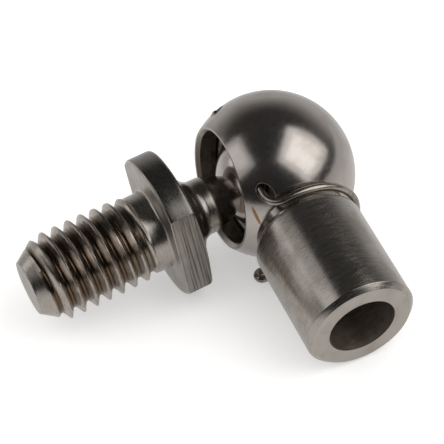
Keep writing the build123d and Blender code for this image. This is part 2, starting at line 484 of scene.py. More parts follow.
@dataclass(frozen=True)
class SteelFinish:
    """Stainless steel with one way of working its surface.

    Attributes:
        name: What the finish is.
        marks: How it was made.
        colour: The clean metal, as sRGB hex.
        film: What darkens it in patches: oil, oxide or ground-in dirt.
        film_share: How much of the film shows where it is thickest.
        patch: Size of the patches, mm.
        roughness: Mean roughness.
        roughness_spread: How far the roughness wanders either way.
        spacing: Distance between tool marks, mm.
        depth: Height of the tool marks, mm.
        contrast: How much the marks darken the metal.
        anisotropy: How far the marks draw a highlight out.
        painted_shade_radii: Radii between which a brown oil film and painted shade fill a thread's
            valleys, thick at the first, or none.
        oil_and_shade_colour: The colour of that oil and painted shade.
        metallic: How much bare metal shows; less under thick oil and smut.
        stains: Dried drops and runs on it.
    """

    name: str
    marks: Marks
    colour: str
    film: str
    film_share: float
    patch: float
    roughness: float
    roughness_spread: float
    spacing: float
    depth: float
    contrast: float = 0.0
    anisotropy: float = 0.0
    # Brown oil and painted shade in a thread's valleys, laid by radius.
    painted_shade_radii: tuple[float, float] | None = None
    oil_and_shade_colour: str = "#3A2C1E"
    metallic: float = 1.0
    stains: tuple[Stain, ...] = ()

    def material(self, place: Matrix) -> bpy.types.Material:
        """Build the finish's material.

        Args:
            place: The axes of the piece that wears it.

        Returns:
            A material whose marks follow those axes.
        """
        material = bpy.data.materials.new(self.name)
        tree = fresh_tree(material)
        local = self._own_axes(tree, place)
        parts = add_node(tree, "ShaderNodeSeparateXYZ", {"Vector": local}).outputs
        across = add_node(tree, "ShaderNodeCombineXYZ", {"Y": parts["Y"], "Z": parts["Z"]}).outputs[0]
        radius = add_node(tree, "ShaderNodeVectorMath", {0: across}, operation="LENGTH").outputs["Value"]
        patches = add_node(
            tree,
            "ShaderNodeTexNoise",
            {"Vector": local, "Scale": 1 / self.patch, "Detail": 5.0, "Roughness": 0.55},
        ).outputs[0]
        marks = self._marks(tree, local, radius)
        film = add_node(
            tree,
            "ShaderNodeMapRange",
            {"Value": patches, "From Min": 0.42, "From Max": 0.72, "To Max": self.film_share},
            interpolation_type="SMOOTHSTEP",
        ).outputs[0]
        dark_marks = add_node(
            tree,
            "ShaderNodeMapRange",
            {"Value": marks, "From Min": 0.55, "From Max": 0.3, "To Max": self.contrast},
        ).outputs[0]
        layers = [(film, self.film), (dark_marks, self.film)]
        # Painted shade with a brown oil tint darkens the thread's valleys, set by radius alone.
        if self.painted_shade_radii:
            valley_shade = add_node(
                tree,
                "ShaderNodeMapRange",
                {"Value": radius, "From Min": self.painted_shade_radii[1], "From Max": self.painted_shade_radii[0], "To Max": 0.9},
                interpolation_type="SMOOTHSTEP",
            ).outputs[0]
            layers.append((valley_shade, self.oil_and_shade_colour))
        layers += [(stain.cover(tree, local), stain.colour) for stain in self.stains]
        colour = linear(self.colour)
        for share, code in layers:
            colour = add_node(
                tree,
                "ShaderNodeMix",
                {"Factor": share, "A": colour, "B": linear(code)},
                data_type="RGBA",
            ).outputs["Result"]
        wander = add_node(tree, "ShaderNodeMath", {0: patches, 1: marks}, operation="ADD").outputs[0]
        roughness = add_node(
            tree,
            "ShaderNodeMapRange",
            {
                "Value": wander,
                "From Min": 0.7,
                "From Max": 1.3,
                "To Min": self.roughness - self.roughness_spread,
                "To Max": self.roughness + self.roughness_spread,
            },
        ).outputs[0]
        bump = add_node(
            tree, "ShaderNodeBump", {"Height": marks, "Distance": self.depth * MM, "Strength": 1.0}
        ).outputs[0]
        sockets = {
            "Base Color": colour,
            "Metallic": self.metallic,
            "Roughness": roughness,
            "Anisotropic": self.anisotropy,
            "Anisotropic Rotation": 0.25,  # the highlight runs across the rings
            "Normal": bump,
        }
        if self.anisotropy:
            sockets["Tangent"] = add_node(
                tree, "ShaderNodeTangent", direction_type="UV_MAP", uv_map="turned"
            ).outputs[0]
        steel = add_node(tree, "ShaderNodeBsdfPrincipled", sockets)
        add_node(tree, "ShaderNodeOutputMaterial", {"Surface": steel.outputs[0]})
        return material

    @staticmethod
    def _own_axes(tree: Tree, place: Matrix) -> Socket:
        """Give the piece's own axes, in millimetres, from object coordinates.

        Args:
            tree: The material's node tree.
            place: The piece's axes.

        Returns:
            The place in those axes.
        """
        back = place.inverted()
        turn = back.to_quaternion().to_euler()
        coordinates = add_node(tree, "ShaderNodeTexCoord").outputs["Object"]
        return add_node(
            tree,
            "ShaderNodeMapping",
            {
                "Vector": coordinates,
                "Location": back.to_translation(),
                "Rotation": turn,
                "Scale": (1 / MM, 1 / MM, 1 / MM),
            },
            vector_type="POINT",
        ).outputs[0]

    def _marks(self, tree: Tree, local: Socket, radius: Socket) -> Socket:
        """Draw the tool marks.

        Args:
            tree: The material's node tree.
            local: The place, in the piece's axes and in millimetres.
            radius: How far that is from X.

        Returns:
            The marks' height, from 0 to 1.
        """
        fine = 1 / self.spacing
        if self.marks is Marks.FACED:
            rings = add_node(
                tree, "ShaderNodeMath", {0: radius, 1: fine}, operation="MULTIPLY"
            ).outputs[0]
            return add_node(
                tree,
                "ShaderNodeTexNoise",
                {"W": rings, "Scale": 1.0, "Detail": 2.0},
                noise_dimensions="1D",
            ).outputs[0]
        stretch = {
            Marks.TUMBLED: (fine, fine, fine),
            Marks.TURNED: (fine, 1.1, 1.1),
            Marks.MILLED: (fine, fine, 0.12),
        }[self.marks]
        drawn = add_node(
            tree, "ShaderNodeVectorMath", {0: local, 1: stretch}, operation="MULTIPLY"
        ).outputs[0]
        return add_node(
            tree, "ShaderNodeTexNoise", {"Vector": drawn, "Scale": 1.0, "Detail": 3.0, "Roughness": 0.6}
        ).outputs[0]


# Stainless steel that was tumbled and buffed: clear but soft reflections, with a few water marks
# and one golden-brown run of dried oil below the mouth.
OIL_RUN = Stain((4.26, 5.79, 2.14), (-0.29, 0.51, -0.81), (1.15, 0.16), "#80571A", 0.85)
POLISHED_HEAD = SteelFinish(
    name="stainless steel, buffed",
    marks=Marks.TUMBLED,
    colour="#B9B2AC",
    film="#85796D",
    film_share=0.35,
    patch=3.0,
    roughness=0.2,
    roughness_spread=0.05,
    spacing=0.35,
    depth=0.0012,
    stains=(OIL_RUN,),
)
# Stainless bar turned at a fine feed, then tumbled: rings too fine to count, drawn 0.12 mm apart
# in place of the real 0.05 mm so that they show, and a highlight drawn out along the shank.
TURNED_SHANK = SteelFinish(
    name="stainless steel, fine turned",
    marks=Marks.TURNED,
    colour="#B4ADA6",
    film="#766D63",
    film_share=0.4,
    patch=2.5,
    roughness=0.25,
    roughness_spread=0.06,
    spacing=0.12,
    depth=0.011,
    contrast=0.35,
    anisotropy=0.45,
)
# A faced end: satin, with rings that catch the light as arcs.
FACED_END = SteelFinish(
    name="stainless steel, faced",
    marks=Marks.FACED,
    colour="#B8B1AA",
    film="#8A8076",
    film_share=0.3,
    patch=1.8,
    roughness=0.38,
    roughness_spread=0.05,
    spacing=0.1,
    depth=0.002,
    contrast=0.1,
)
# Drilled bore wall: smooth, oily and never polished, with faint rings, drawn 0.25 mm apart.
DRILLED_BORE = SteelFinish(
    name="stainless steel, drilled and oily",
    marks=Marks.TURNED,
    colour="#71685E",
    film="#4A3E32",
    film_share=0.7,
    patch=1.6,
    roughness=0.36,
    roughness_spread=0.06,
    spacing=0.25,
    depth=0.01,
    contrast=0.6,
    metallic=0.45,
)
# The bored seat and the ring groove: turned, greased and never polished, so dark and brown.
GREASED_SEAT = SteelFinish(
    name="stainless steel, bored and greased",
    marks=Marks.TURNED,
    colour="#7E7569",
    film="#33291A",
    film_share=0.8,
    patch=1.2,
    roughness=0.4,
    roughness_spread=0.1,
    spacing=0.2,
    depth=0.006,
    contrast=0.35,
    metallic=0.7,
)
# The tapped bore: torn and oily thread flanks, with oil and painted shade deep in the thread roots.
TAPPED_BORE = SteelFinish(
    name="stainless steel, tapped",
    marks=Marks.TURNED,
    colour="#5C5249",
    film="#2A2119",
    film_share=0.8,
    patch=0.9,
    roughness=0.45,
    roughness_spread=0.1,
    spacing=0.12,
    depth=0.004,
    contrast=0.3,
    # Oil and painted shade in the thread roots.
    painted_shade_radii=(2.95, 2.6),
)


# --- Making objects ---
def wrap_turned(mesh: Shell) -> None:
    """Lay a UV map on a turned shell, U round the axis and V along it in centimetres.

    Args:
        mesh: The shell, whose other UV maps are removed, since a Boolean cuts across them.
    """
    for layer in list(mesh.loops.layers.uv):
        mesh.loops.layers.uv.remove(layer)
    layer = mesh.loops.layers.uv.new("turned")
    for face in mesh.faces:
        first = None
        for loop in face.loops:
            point = loop.vert.co
            round_share = math.atan2(point.z, point.y) / (2 * math.pi)
            first = round_share if first is None else first
            round_share -= round(round_share - first)
            loop[layer].uv = (round_share, point.x / 10)


def make_object(
    name: str, mesh: Shell, place: Matrix, materials: Sequence[bpy.types.Material]
) -> bpy.types.Object:
    """Turn a mesh in its own axes into an object laid in the part's frame.

    Args:
        name: The piece's name.
        mesh: The mesh, which is freed.
        place: The piece's axes.
        materials: Its material slots.

    Returns:
        The object, at the origin, with its place in its mesh.
    """
    mesh.transform(place)
    data = bpy.data.meshes.new(name)
    mesh.to_mesh(data)
    mesh.free()
    for material in materials:
        data.materials.append(material)
    data.shade_smooth()
    data.set_sharp_from_angle(angle=math.radians(SHARP_ANGLE))
    piece = bpy.data.objects.new(name, data)
    bpy.context.scene.collection.objects.link(piece)
    return piece


def set_piece(piece: bpy.types.Object, body: str, node: str) -> None:
    """Fix a finished piece to its body, in place of its CAD node, and report it.

    Args:
        piece: The finished piece.
        body: The body that it rides on.
        node: The CAD node that it replaces.
    """
    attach(piece, body)
    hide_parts(node)
    triangles = sum(len(face.vertices) - 2 for face in piece.data.polygons)
    log.info("%s: %d triangles", piece.name, triangles)


# --- The threaded stud ---
class StudFace(IntEnum):
    """The stud's material slots."""

    BALL = 0
    THREAD = 1
    FLAT = 2
    FACED = 3
    SMOOTH = 4
    RIM = 5


@dataclass
class BallStud:
    """The ball, its neck, its collar with two flats and its M8 thread, in one turned piece."""

    ball_radius: float = 5.0
    neck_at_ball: float = 1.909
    neck_radius: float = 2.57
    neck_end: float = 6.3  # where the straight neck starts to taper in to the ball
    fillet_start: float = 7.1
    fillet: float = 1.25  # radius of the neck's fillet towards the collar
    fillet_slope: float = 60.0  # where the fillet ends and a straight flare goes on
    collar_back: float = 8.9
    collar_face: float = 11.5
    collar_radius: float = 6.5
    round_front: float = 0.3
    round_back: float = 0.3
    cone_start: float = 4.8  # radius where the collar's back starts to slope
    cone_slope: float = 0.17  # how far it slopes forward for each mm outwards
    flat_distance: float = 5.0
    undercut_radius: float = 3.62
    undercut_end: float = 13.0
    first_crest: tuple[float, float] = (0.9, 0.13)  # how far past the undercut, and how low
    whole_crest: float = 4.0  # how far past it the crests are whole
    first_valley: tuple[float, float] = (0.3, 0.12)  # how far past the undercut, and how shallow
    whole_valley: float = 3.0  # how far past it the valleys are whole
    tip: float = 24.0
    tip_chamfer: float = 2.2
    tip_radius: float = 2.45
    edge: float = 0.05  # chamfer left on the flats' edges
    segments: int = 144
    thread: Thread = Thread(
        pitch=1.25, crest=3.97, root=3.2, crest_share=0.1, root_share=0.24, phase=0.464
    )

    def build(self) -> bpy.types.Object:
        """Wind the thread, turn the rest on from its two rims and mill the flats.

        Returns:
            The finished piece.
        """
        mesh = bmesh.new()
        thread_end = self.tip - self.edge
        inner, outer = self.thread.cut(mesh, self.undercut_end, thread_end, self._blank, self.segments)
        before = (thread_end, self.tip_radius + self.edge)
        tip_face = broken_edge((self.tip, self.tip_radius), before, (self.tip, 0), self.edge)
        tip_face += [(self.tip, self.tip_radius * share) for share in (0.75, 0.5, 0.25)]
        close_on_axis(mesh, carry_on(mesh, outer, tip_face), self.tip)
        inner = carry_on(mesh, inner, self._towards_ball())
        close_on_axis(mesh, inner, -self.ball_radius)
        for side in (1, -1):
            self._mill_flat(mesh, side)
        finish_shell(mesh)
        wrap_turned(mesh)
        self._dress(mesh)
        materials = [finish.material(STUD_AXES) for finish in STUD_FINISHES]
        return make_object("ball_stud_turned", mesh, STUD_AXES, materials)

    def _blank(self, x: float, radius: float) -> float:
        """Hold the thread inside the turned blank: its tip chamfer and its run-out.

        Args:
            x: Distance along the axis.
            radius: The thread's own radius there.

        Returns:
            The radius that the blank leaves.
        """
        top = between(x, (self.tip - self.tip_chamfer, self.thread.crest), (self.tip, self.tip_radius))
        start = (self.undercut_end, self.undercut_radius)
        shoulder = (start[0] + self.first_crest[0], self.thread.crest - self.first_crest[1])
        run_out = between(x, start, shoulder)
        if x > shoulder[0]:
            run_out = between(x, shoulder, (start[0] + self.whole_crest, self.thread.crest))
        valley = (start[0] + self.first_valley[0], self.thread.root + self.first_valley[1])
        floor = between(x, start, valley)
        if floor <= valley[1]:
            floor = between(x, valley, (start[0] + self.whole_valley, self.thread.root))
        return min(max(radius, floor), top, run_out)

    def _towards_ball(self) -> list[Station]:
        """Outline the stud from the undercut back to the far side of the ball.

        Returns:
            The outline's points.
        """
        front = (self.collar_face - self.round_front, self.collar_radius - self.round_front)
        slope = math.atan(self.cone_slope)
        back_radius = self.collar_radius - self.round_back
        back = (self._back_at(back_radius) + self.round_back / math.cos(slope), back_radius)
        ball_start = math.degrees(math.asin(self.neck_at_ball / self.ball_radius))
        corner = 0.25  # fillets left by the tool's nose
        scratch = 0.03  # depth of the ring scratched where the fillet starts
        fillet_centre = (self.fillet_start, self.neck_radius + self.fillet)
        fillet_arc = arc(fillet_centre, self.fillet, 270 + self.fillet_slope, 270, 10)
        flare = (self.collar_back - fillet_arc[0][0]) * math.tan(math.radians(self.fillet_slope))
        taper_start = (self.neck_end, self.neck_radius)
        taper_end = (self._ball_end(), self.neck_at_ball)
        # Points part way along a straight length keep its faces short.
        stations = [
            (self.undercut_end - 0.4, self.undercut_radius),
            (self.collar_face + corner, self.undercut_radius),
            *arc((self.collar_face + corner, self.undercut_radius + corner), corner, 270, 180, 3)[1:],
            (self.collar_face, 4.4),
            (self.collar_face, 5.3),
            *arc(front, self.round_front, 0, 90, 5),
            (10.6, self.collar_radius),
            (9.7, self.collar_radius),
            *arc(back, self.round_back, 90, 180 - math.degrees(slope), 4),
            (self._back_at(5.9), 5.9),
            (self._back_at(5.3), 5.3),
            (self.collar_back, self.cone_start),
            (self.collar_back, fillet_arc[0][1] + flare),
            *fillet_arc,
            (self.fillet_start - 0.07, self.neck_radius),
            (self.fillet_start - 0.1, self.neck_radius - scratch),
            (self.fillet_start - 0.13, self.neck_radius),
            *broken_edge(taper_start, (self.fillet_start, self.neck_radius), taper_end, 0.3),
            (5.3, between(5.3, taper_end, taper_start)),
        ]
        return stations + arc((0, 0), self.ball_radius, ball_start, 178, 60)

    def _ball_end(self) -> float:
        """Give the distance along the axis at which the ball meets the neck."""
        return math.sqrt(self.ball_radius**2 - self.neck_at_ball**2)

    def _back_at(self, radius: float) -> float:
        """Give the distance along the axis of the collar's back, which slopes like a shallow cone."""
        return self.collar_back + (radius - self.cone_start) * self.cone_slope

    def _mill_flat(self, mesh: Shell, side: int) -> None:
        """Mill one flat on the collar and break its edges.

        Args:
            mesh: The turned stud.
            side: 1 for the flat towards Y, -1 for the other.
        """
        low, high = self.collar_back - WELD, self.collar_face + WELD
        faces = [
            face
            for face in mesh.faces
            if all(low < point.co.x < high and point.co.y * side > 0 for point in face.verts)
        ]
        ring = dict.fromkeys(item for face in faces for item in (*face.verts, *face.edges))
        bmesh.ops.bisect_plane(
            mesh,
            geom=[*ring, *faces],
            dist=WELD,
            plane_co=(0, self.flat_distance * side, 0),
            plane_no=(0, side, 0),
            clear_outer=True,
        )
        flat = bmesh.ops.holes_fill(mesh, edges=open_edges(mesh))["faces"]
        border = bmesh.ops.inset_region(mesh, faces=flat, thickness=self.edge, depth=0)["faces"]
        inner = {point for face in flat for point in face.verts}
        for point in {point for face in border for point in face.verts} - inner:
            reach = off_axis(point.co)
            on_rim = low + 0.01 < point.co.x < high - 0.01
            on_cone = on_rim and abs(point.co.x - self._back_at(reach)) < 0.005
            point.co.y -= self.edge * side
            if on_cone:
                point.co.x = self._back_at(off_axis(point.co))
            elif on_rim:
                point.co.z = math.copysign(math.sqrt(reach**2 - point.co.y**2), point.co.z)

    def _dress(self, mesh: Shell) -> None:
        """Mark each face with its finish.

        Args:
            mesh: The finished stud, in its own axes.
        """
        chamfer = (self.tip - self.tip_chamfer, self.thread.crest), (self.tip, self.tip_radius)
        for face, middle, radius in face_middles(mesh):
            flat = abs(face.normal.y) > SQUARE_ON and abs(abs(middle.y) - self.flat_distance) < 0.03
            on_chamfer = middle.x > chamfer[0][0] and radius > between(middle.x, *chamfer) - 0.02
            if middle.x < self._ball_end():
                face.material_index = StudFace.BALL
            elif self.undercut_end < middle.x < self.tip - 0.02 and not on_chamfer:
                face.material_index = StudFace.THREAD
            elif flat and self.collar_back < middle.x < self.collar_face:
                face.material_index = StudFace.FLAT
            elif abs(face.normal.x) > SQUARE_ON and radius > 0.1:
                face.material_index = StudFace.FACED
            elif radius > self.collar_radius - 0.05:
                face.material_index = StudFace.RIM
            else:
                face.material_index = StudFace.SMOOTH


# The ball: ground and polished all over, with faint wear rings where it turns in its seat.
BALL = SteelFinish(
    name="stainless steel, ground ball",
    marks=Marks.TURNED,
    colour="#BAB3AD",
    film="#6E5E4C",
    film_share=0.35,
    patch=1.6,
    roughness=0.16,
    roughness_spread=0.05,
    spacing=0.2,
    depth=0.0012,
)
# Neck, undercut and tip chamfer: turned with a sharp tool, so smooth that they reflect clearly.
SMOOTH_TURNED = SteelFinish(
    name="stainless steel, smooth turned",
    marks=Marks.TURNED,
    colour="#B4ADA6",
    film="#6A6056",
    film_share=0.35,
    patch=2.0,
    roughness=0.24,
    roughness_spread=0.04,
    spacing=0.14,
    depth=0.005,
    contrast=0.25,
    anisotropy=0.25,
)
# A rolled thread: burnished flanks, with brown rolling oil and painted shade in the valleys.
ROLLED_THREAD = SteelFinish(
    name="stainless steel, rolled thread",
    marks=Marks.TURNED,
    colour="#B8B0A8",
    film="#6B5E50",
    film_share=0.4,
    patch=1.4,
    roughness=0.22,
    roughness_spread=0.07,
    spacing=0.13,
    depth=0.016,
    contrast=0.5,
    # Brown oil and painted shade in the valleys.
    painted_shade_radii=(3.2, 3.5),
    oil_and_shade_colour="#5A4630",
)
# A milled flat: coarse cutter marks along the flat, 0.15 mm apart and darker at the bottom.
MILLED_FLAT = SteelFinish(
    name="stainless steel, milled flat",
    marks=Marks.MILLED,
    colour="#A29B94",
    film="#4A443D",
    film_share=0.2,
    patch=2.0,
    roughness=0.4,
    roughness_spread=0.06,
    spacing=0.15,
    depth=0.02,
    contrast=1.0,
)
# The collar's rim: the bar's own drawn skin, dull and darker than a turned face.
DRAWN_SKIN = SteelFinish(
    name="stainless bar, drawn skin",
    marks=Marks.TUMBLED,
    colour="#85817C",
    film="#5A554F",
    film_share=0.4,
    patch=1.5,
    roughness=0.27,
    roughness_spread=0.06,
    spacing=0.16,
    depth=0.004,
    contrast=0.3,
)
# In the order of StudFace.
STUD_FINISHES = (BALL, ROLLED_THREAD, MILLED_FLAT, FACED_END, SMOOTH_TURNED, DRAWN_SKIN)


# --- The socket ---
class SocketFace(IntEnum):
    """The socket's material slots."""

    HEAD = 0
    SHANK = 1
    SHANK_END = 2
    SEAT = 3
    THREAD = 4
    LAND = 5
    BORE = 6


@dataclass
class BallSocket:
    """The spherical head with its seat and mouth, and the tapped shank, in one piece."""

    head_radius: float = 7.5
    seat_radius: float = 5.05
    mouth_radius: float = 5.15
    mouth_face: float = 5.0
    mouth_chamfer: tuple[float, float] = (0.25, 0.35)  # width and depth
    mouth_round: float = 0.035  # size of the rounds on the mouth's and the groove's edges
    rim_room: float = 0.8  # degrees that the head's arc leaves for the rim's round
    groove_radius: float = 5.95
    groove: tuple[float, float] = (2.1, 3.1)  # from and to, along the mouth's axis
    shank_radius: float = 5.0
    shank_end: float = 18.5
    end_chamfer: float = 0.45
    neck_radius: float = 4.2
    neck_end: float = 6.8635
    bore_mouth: float = 3.05  # radius of the plain length that leads a rod into the thread
    plain_depth: float = 4.6
    bore_radius: float = 2.5
    bore_end: float = 7.702  # where the drill's cone starts
    point_end: float = 6.2  # how near the ball's centre the drill's point comes
    thread_end: float = 8.4  # where the thread ends, deep in the bore
    thread_fade: float = 1.5  # length over which it runs out there
    hole_radius: float = 0.68
    hole_place: tuple[float, float] = (-3.3, 4.1484)  # Y and Z in the socket's axes
    hole_break: float = 0.05  # width of the broken edge round the hole
    shoulder_round: tuple[float, float] = (0.25, 0.07)  # tumbled edge: length and depth
    root_disc: float = 5.6  # where the shank's root lies inside the head's wall
    point_land: tuple[float, float] = (0.4, 0.666)  # length and radius of the drill's point
    tumbled: float = 0.03  # size of the rounds on its turned edges
    segments: int = 160
    thread: Thread = Thread(pitch=1.0, crest=2.5, root=3.0)

    def build(self) -> bpy.types.Object:
        """Join the head and the shank, then drill the clip's hole.

        Returns:
            The finished piece.
        """
        materials = [finish.material(place) for finish, place in SOCKET_FINISHES]
        head = make_object("head", self._head(), MOUTH_AXES, materials)
        shank = make_object("shank", self._shank(), SOCKET_AXES, materials)
        drill = make_object("drill", self._drill(), SOCKET_AXES, materials)
        data = self._joined(head, [(shank, "UNION"), (drill, "DIFFERENCE")])
        for spare in (head, shank, drill):
            bpy.data.objects.remove(spare)
        mesh = bmesh.new()
        mesh.from_mesh(data)
        mesh.transform(SOCKET_AXES.inverted())
        finish_shell(mesh)
        wrap_turned(mesh)
        socket = make_object("ball_socket_turned", mesh, SOCKET_AXES, materials)
        self._true_sphere(socket.data)
        return socket

    def _head(self) -> Shell:
        """Turn the head about the mouth's axis, outside and in.

        Returns:
            The head, in the mouth's axes.
        """
        width, depth = self.mouth_chamfer
        outer_edge = math.degrees(math.acos(self.mouth_face / self.head_radius))
        rim_radius = math.sqrt(self.head_radius**2 - self.mouth_face**2)
        groove_low, groove_high = self.groove
        outside = arc((0, 0), self.head_radius, 180, outer_edge + self.rim_room, 90)
        mouth = [
            outside[-1],
            (self.mouth_face, rim_radius),
            (self.mouth_face, self.mouth_radius + width),
            (self.mouth_face - depth, self.mouth_radius),
            (groove_high, self.mouth_radius),
            (groove_high, self.groove_radius),
            (groove_low, self.groove_radius),
            (groove_low, self.mouth_radius),
            (0.05, self.mouth_radius),
        ]
        seat = arc((0, 0), self.seat_radius, 90, 180, 48)
        mesh = bmesh.new()
        spin_outline(mesh, outside[:-1] + soften(mouth, self.mouth_round) + seat, self.segments)
        for face, middle, radius in face_middles(mesh):
            on_land = middle.x > self.mouth_face - depth - 0.01 and radius < rim_radius + 0.01
            if middle.length > self.head_radius - 0.06 and not on_land:
                face.material_index = SocketFace.HEAD
            else:
                face.material_index = SocketFace.LAND if on_land else SocketFace.SEAT
        return mesh

    def _shank(self) -> Shell:
        """Cut the bore's thread and turn the shank on from its two rims.

        Returns:
            The shank, in the socket's axes.
        """
        mesh = bmesh.new()
        plain_end = self.shank_end - self.plain_depth
        inner, outer = self.thread.cut(mesh, self.thread_end, plain_end, self._drilled, self.segments)
        shoulder = self.neck_end + self.shank_radius - self.neck_radius
        # Points part way along a straight length keep its faces short.
        turned = [
            *((plain_end + step, self.bore_mouth) for step in (0, 0.4, 1.8, 3.2)),
            (self.shank_end, self.bore_mouth),
            (self.shank_end, 3.8),
            (self.shank_end, self.shank_radius - self.end_chamfer),
            (self.shank_end - self.end_chamfer, self.shank_radius),
            *((x, self.shank_radius) for x in (15.4, 12.8, 10.2)),
            (shoulder + self.shoulder_round[0], self.shank_radius),
            (shoulder, self.shank_radius - self.shoulder_round[1]),
            (self.neck_end, self.neck_radius),
            (self.root_disc, self.neck_radius),
            (self.root_disc, self.neck_radius / 2),
        ]
        close_on_axis(mesh, carry_on(mesh, outer, soften(turned, self.tumbled)[1:]), self.root_disc)
        length, radius = self.point_land
        drill_point = [(self.bore_end, self.bore_radius), (self.point_end + length, radius)]
        close_on_axis(mesh, carry_on(mesh, inner, drill_point), self.point_end)
        finish_shell(mesh)
        for face, middle, radius in face_middles(mesh):
            if radius < self.bore_mouth + 0.01 and middle.x > self.root_disc + 0.1:
                plain = middle.x > plain_end - 0.7
                face.material_index = SocketFace.BORE if plain else SocketFace.THREAD
            else:
                faced = middle.x > self.shank_end - 0.04
                face.material_index = SocketFace.SHANK_END if faced else SocketFace.SHANK
        return mesh

    def _drilled(self, x: float, radius: float) -> float:
        """Hold the thread outside the drilled bore and the cone that leads into it.

        Args:
            x: Distance along the axis.
            radius: The thread's own radius there.

        Returns:
            The radius that the drill leaves.
        """
        plain_end = self.shank_end - self.plain_depth
        lead = plain_end - (self.bore_mouth - self.bore_radius)
        cone = between(x, (lead, self.bore_radius), (plain_end, self.bore_mouth))
        full = (self.thread_end + self.thread_fade, self.thread.root)
        ceiling = between(x, (self.thread_end, self.bore_radius), full)
        return max(min(radius, ceiling), cone)

    def _drill(self) -> Shell:
        """Shape the clip hole's drill, flared at both ends to break the hole's edge.

        Returns:
            The drill, in the socket's axes.
        """
        mesh = bmesh.new()
        made = bmesh.ops.create_circle(mesh, radius=self.hole_radius, segments=64, cap_ends=False)
        side_y, side_z = self.hole_place
        for point in made["verts"]:
            point.co = (0, side_y + point.co.x, side_z + point.co.y)
        self._run_out(mesh, mesh.edges[:], 1)
        self._run_out(mesh, rim_at(mesh, 0), -1)
        finish_shell(mesh)
        centre = Vector((0, side_y, side_z))
        for face, middle, _ in face_middles(mesh):
            flared = off_axis(middle - centre) > self.hole_radius + 0.01
            face.material_index = SocketFace.LAND if flared else SocketFace.SEAT
        return mesh

    def _run_out(self, mesh: Shell, rim: Edges, way: int) -> None:
        """Run the drill out through the head one way, flared where it leaves.

        Args:
            mesh: The drill.
            rim: Its open rim in the middle of the head.
            way: 1 towards X, -1 away.
        """
        centre = Vector((0, *self.hole_place))
        for spread, past in ((0, -self.hole_break), (2 * self.hole_break, self.hole_break), (0.3, 2.0)):
            points, rim = extrude(mesh, rim)
            for point in points:
                offset = Vector((0, point.co.y, point.co.z)) - centre
                offset *= (self.hole_radius + spread) / offset.length
                place = centre + offset
                leave = math.sqrt(max(self.head_radius**2 - place.y**2 - place.z**2, 0))
                point.co = (way * (leave + past), place.y, place.z)
        bmesh.ops.holes_fill(mesh, edges=rim)

    @staticmethod
    def _joined(base: bpy.types.Object, cuts: Sequence[tuple[bpy.types.Object, str]]) -> bpy.types.Mesh:
        """Join and cut closed meshes with Booleans.

        Args:
            base: The object that the others are joined to or cut from.
            cuts: The other objects, each with its operation.

        Returns:
            The finished mesh, with the operands' material indices.
        """
        for other, operation in cuts:
            change = base.modifiers.new(other.name, "BOOLEAN")
            change.object = other
            change.operation = operation
            change.solver = "MANIFOLD"
        graph = bpy.context.evaluated_depsgraph_get()
        return bpy.data.meshes.new_from_object(base.evaluated_get(graph))

    def _true_sphere(self, data: bpy.types.Mesh) -> None:
        """Give the head's outside the normals of a true sphere, so that its reflections are clean.

        Args:
            data: The socket's mesh, in the part's frame.
        """
        normals = [Vector((0, 0, 0))] * len(data.loops)
        limit = (self.head_radius - 0.002) * MM
        for face in data.polygons:
            for place in face.loop_indices if face.material_index == SocketFace.HEAD else ():
                spoke = data.vertices[data.loops[place].vertex_index].co - BALL_CENTRE
                if spoke.length > limit:
                    normals[place] = spoke.normalized()
        data.normals_split_custom_set(normals)


# In the order of SocketFace, each with the axes that its marks follow.
SOCKET_FINISHES = (
    (POLISHED_HEAD, MOUTH_AXES),
    (TURNED_SHANK, SOCKET_AXES),
    (FACED_END, SOCKET_AXES),
    (GREASED_SEAT, MOUTH_AXES),
    (TAPPED_BORE, SOCKET_AXES),
    (FACED_END, MOUTH_AXES),
    (DRILLED_BORE, SOCKET_AXES),
)


# --- Bent wire ---
class BentWire:
    """A round wire that is bent as it is made: straight runs and turns, one after the other."""

    def __init__(self, start: Vector, heading: Vector, radius: float, segments: int = 32) -> None:
        """Start a wire with a round section at right angles to its heading.

        Args:
            start: Centre of its first end, in the piece's axes.
            heading: Direction that it sets off in.
            radius: The wire's radius.
            segments: How many chords its section has.
        """
        self.mesh = bmesh.new()
        self.radius = radius
        self.end = start.copy()
        self.heading = heading.normalized()
        place = Matrix.Translation(start) @ heading.to_track_quat("Z", "Y").to_matrix().to_4x4()
        bmesh.ops.create_circle(self.mesh, segments=segments, radius=radius, matrix=place)
        self.rim = self.mesh.edges[:]

    def run(self, length: float, steps: int = 4) -> None:
        """Run the wire straight on.

        Args:
            length: How far.
            steps: How many lengths it is divided in.
        """
        for _ in range(steps):
            points, self.rim = extrude(self.mesh, self.rim)
            bmesh.ops.translate(self.mesh, verts=points, vec=self.heading * (length / steps))
        self.end = self.end + self.heading * length

    def bend(self, centre: Vector, axis: Vector, angle: float, steps: int) -> None:
        """Bend the wire about an axis.

        Args:
            centre: A point on the axis.
            axis: The axis that it turns about, by the right-hand rule.
            angle: How far it turns, in degrees.
            steps: How many chords the bend has.
        """
        points = list(dict.fromkeys(point for edge in self.rim for point in edge.verts))
        made = bmesh.ops.spin(
            self.mesh,
            geom=points + self.rim,
            cent=centre,
            axis=axis,
            angle=math.radians(angle),
            steps=steps,
        )["geom_last"]
        turn = Matrix.Rotation(math.radians(angle), 3, axis)
        self.rim = new_edges(made)
        self.end = centre + turn @ (self.end - centre)
        self.heading = turn @ self.heading

    def cut_end(self) -> None:
        """Round the wire's open end over, as cutters and tumbling leave it."""
        for shrink, ahead in ((0.93, 0.03), (0.78, 0.05)):
            points, self.rim = extrude(self.mesh, self.rim)
            middle = sum((point.co for point in points), Vector()) / len(points)
            for point in points:
                offset = (point.co - middle).normalized() * self.radius * shrink
                point.co = self.end + offset - self.heading * (0.05 - ahead)
        bmesh.ops.holes_fill(self.mesh, edges=self.rim)

    def close(self) -> Shell:
        """Cut the wire off: its last end rounded over, its first left square.

        Returns:
            The finished shell.
        """
        self.cut_end()
        bmesh.ops.holes_fill(self.mesh, edges=open_edges(self.mesh))
        finish_shell(self.mesh)
        return self.mesh


